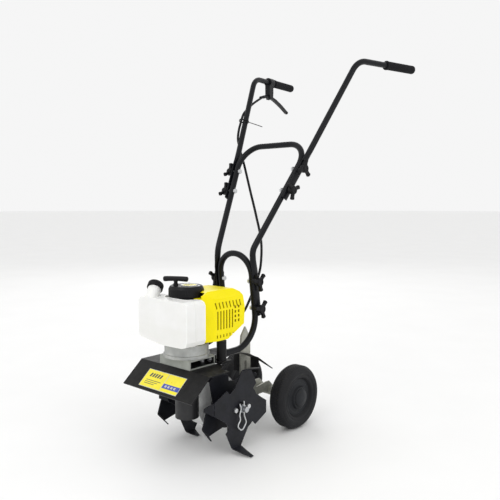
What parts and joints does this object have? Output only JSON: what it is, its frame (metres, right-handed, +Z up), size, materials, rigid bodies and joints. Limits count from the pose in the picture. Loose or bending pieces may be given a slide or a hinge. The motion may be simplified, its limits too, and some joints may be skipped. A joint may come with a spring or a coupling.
{
  "type": "mini tiller",
  "caption": "Walk-behind mini tiller with clawed tine discs on a worm gearbox, small engine, hoop frame, two handles with a throttle lever, transport wheels and a drag stake.",
  "frame": {"origin": "bottom centre of the bounding box: on the ground, below the wheel axle and halfway between the wheels", "axes": "+Z up, +Y to the rear towards the operator, +X to the operator's left"},
  "size_m": [0.5024, 0.84, 1.066],
  "materials": {
    "tube_paint": "satin black powder coat with a faint blue cast",
    "fender_paint": "satin black paint",
    "grip_rubber": "matte ribbed rubber",
    "bolt_zinc": "bright zinc plate",
    "knob_plastic": "matte moulded plastic",
    "bracket_paint": "pale grey-green semi-gloss paint",
    "gearbox_cast": "sand-cast aluminium",
    "bronze": "machined bronze",
    "machined_steel": "machined and ground steel",
    "tine_steel": "dark blue-black heat-treated steel, satin",
    "hub_paint": "satin black paint",
    "cast_aluminium": "die-cast aluminium",
    "plug_white": "glazed ceramic",
    "muffler_steel": "heat-tinted sheet steel",
    "black_plastic": "fine-textured moulded plastic",
    "cover_yellow": "glossy yellow moulded plastic",
    "tank_white": "translucent off-white polyethylene",
    "pulley_nylon": "natural nylon",
    "rope_white": "braided nylon rope",
    "cable_black": "smooth black cable sheath",
    "galvanised": "olive zinc-plated steel",
    "wheel_plastic": "charcoal moulded plastic"
  },
  "bodies": {
    "frame": {"lower_hoop": "tube_paint", "frame_base": "tube_paint", "middle_frame": "tube_paint", "handle_left": "tube_paint", "handle_right": "tube_paint", "hand_grips": "grip_rubber", "clamp_bolts": "bolt_zinc", "rear_guard": "tube_paint", "engine_bracket": "bracket_paint", "base_bolts": "bolt_zinc", "fender": "fender_paint", "gearbox_housing": "gearbox_cast", "bearings_and_seals": "machined_steel", "clutch_housing": "cast_aluminium", "crankcase": "cast_aluminium", "cylinder": "cast_aluminium", "piston": "cast_aluminium", "connecting_rod": "machined_steel", "crankshaft": "machined_steel", "clutch_shoes": "machined_steel", "flywheel": "cast_aluminium", "spark_plug": "plug_white", "muffler": "muffler_steel", "carburetor": "cast_aluminium", "air_filter": "black_plastic", "cylinder_cover": "cover_yellow", "fuel_tank": "tank_white", "starter_housing": "black_plastic", "starter_rope": "rope_white", "lever_perch": "black_plastic", "throttle_cable": "cable_black", "wheel_bracket": "galvanised", "bracket_pins": "bolt_zinc", "wheel_axle": "bolt_zinc", "recoil_spring": "machined_steel"},
    "tine_drive": {"tine_shaft": "machined_steel", "tine_hubs": "hub_paint", "outer_tines": "tine_steel", "inner_tines": "tine_steel", "tine_bolts": "bolt_zinc", "hitch_clips": "bolt_zinc", "worm_wheel": "bronze"},
    "worm": {"worm_shaft": "machined_steel", "clutch_drum": "machined_steel"},
    "wheel_left_body": {"wheel_left": "wheel_plastic"},
    "wheel_right_body": {"wheel_right": "wheel_plastic"},
    "throttle": {"throttle_lever": "black_plastic"},
    "starter_grip": {"starter_handle": "black_plastic"},
    "pulley": {"starter_pulley": "pulley_nylon"},
    "cap": {"fuel_cap": "black_plastic"},
    "choke": {"choke_lever": "black_plastic"},
    "stake": {"drag_stake": "galvanised"},
    "knob_low_left_a_body": {"knob_low_left_a": "knob_plastic"},
    "knob_low_left_b_body": {"knob_low_left_b": "knob_plastic"},
    "knob_low_right_a_body": {"knob_low_right_a": "knob_plastic"},
    "knob_low_right_b_body": {"knob_low_right_b": "knob_plastic"},
    "knob_top_left_a_body": {"knob_top_left_a": "knob_plastic"},
    "knob_top_left_b_body": {"knob_top_left_b": "knob_plastic"},
    "knob_top_right_a_body": {"knob_top_right_a": "knob_plastic"},
    "knob_top_right_b_body": {"knob_top_right_b": "knob_plastic"}
  },
  "joints": [
    {"name": "tine_spin", "type": "hinge", "parent": "frame", "child": "tine_drive", "pos_m": [0, -0.228, 0.114], "axis": [1, 0, 0], "continuous": true},
    {"name": "worm_spin", "type": "hinge", "parent": "frame", "child": "worm", "pos_m": [0, -0.315, 0.115], "axis": [0, 0, 1], "continuous": true},
    {"name": "wheel_left_spin", "type": "hinge", "parent": "frame", "child": "wheel_left_body", "pos_m": [0.1074, 0, 0.09], "axis": [1, 0, 0], "continuous": true},
    {"name": "wheel_right_spin", "type": "hinge", "parent": "frame", "child": "wheel_right_body", "pos_m": [-0.1074, 0, 0.09], "axis": [1, 0, 0], "continuous": true},
    {"name": "throttle_squeeze", "type": "hinge", "parent": "frame", "child": "throttle", "pos_m": [-0.21361, 0.26809, 1.00277], "axis": [0.9854, 0.1703, 0], "range_deg": [0, 30], "stiffness_Nm_per_rad": 0.6, "springref_deg": -17.19},
    {"name": "starter_pull", "type": "slide", "parent": "frame", "child": "starter_grip", "axis": [0, 0, 1], "range_m": [0, 0.5], "stiffness_N_per_m": 12, "springref_m": -0.3, "deforming": ["starter_rope"]},
    {"name": "pulley_turn", "type": "hinge", "parent": "frame", "child": "pulley", "pos_m": [0, -0.315, 0.411], "axis": [0, 0, 1], "range_deg": [0, 960]},
    {"name": "fuel_cap_turn", "type": "hinge", "parent": "frame", "child": "cap", "pos_m": [-0.07801, -0.35243, 0.42564], "axis": [-0.3596, 0.6428, 0.6764], "continuous": true},
    {"name": "choke_swing", "type": "hinge", "parent": "frame", "child": "choke", "pos_m": [-0.077, -0.241, 0.361], "axis": [1, 0, 0], "range_deg": [0, 60]},
    {"name": "stake_slide", "type": "slide", "parent": "frame", "child": "stake", "axis": [0, 0, 1], "range_m": [-0.08, 0.008]},
    {"name": "knob_low_left_a_turn", "type": "hinge", "parent": "frame", "child": "knob_low_left_a_body", "pos_m": [0.081, -0.12629, 0.43], "axis": [1, 0, 0], "continuous": true},
    {"name": "knob_low_left_b_turn", "type": "hinge", "parent": "frame", "child": "knob_low_left_b_body", "pos_m": [0.081, -0.11688, 0.355], "axis": [1, 0, 0], "continuous": true},
    {"name": "knob_low_right_a_turn", "type": "hinge", "parent": "frame", "child": "knob_low_right_a_body", "pos_m": [-0.081, -0.12629, 0.43], "axis": [1, 0, 0], "continuous": true},
    {"name": "knob_low_right_b_turn", "type": "hinge", "parent": "frame", "child": "knob_low_right_b_body", "pos_m": [-0.081, -0.11688, 0.355], "axis": [1, 0, 0], "continuous": true},
    {"name": "knob_top_left_a_turn", "type": "hinge", "parent": "frame", "child": "knob_top_left_a_body", "pos_m": [0.13917, -0.00337, 0.737], "axis": [1, 0, 0], "continuous": true},
    {"name": "knob_top_left_b_turn", "type": "hinge", "parent": "frame", "child": "knob_top_left_b_body", "pos_m": [0.12632, -0.03796, 0.678], "axis": [1, 0, 0], "continuous": true},
    {"name": "knob_top_right_a_turn", "type": "hinge", "parent": "frame", "child": "knob_top_right_a_body", "pos_m": [-0.13917, -0.00337, 0.737], "axis": [1, 0, 0], "continuous": true},
    {"name": "knob_top_right_b_turn", "type": "hinge", "parent": "frame", "child": "knob_top_right_b_body", "pos_m": [-0.12632, -0.03796, 0.678], "axis": [1, 0, 0], "continuous": true}
  ],
  "couplings": [
    {"joint": "worm_spin", "follows": "tine_spin", "ratio": 34},
    {"joint": "pulley_turn", "follows": "starter_pull", "rad_per_m": 33.333}
  ]
}
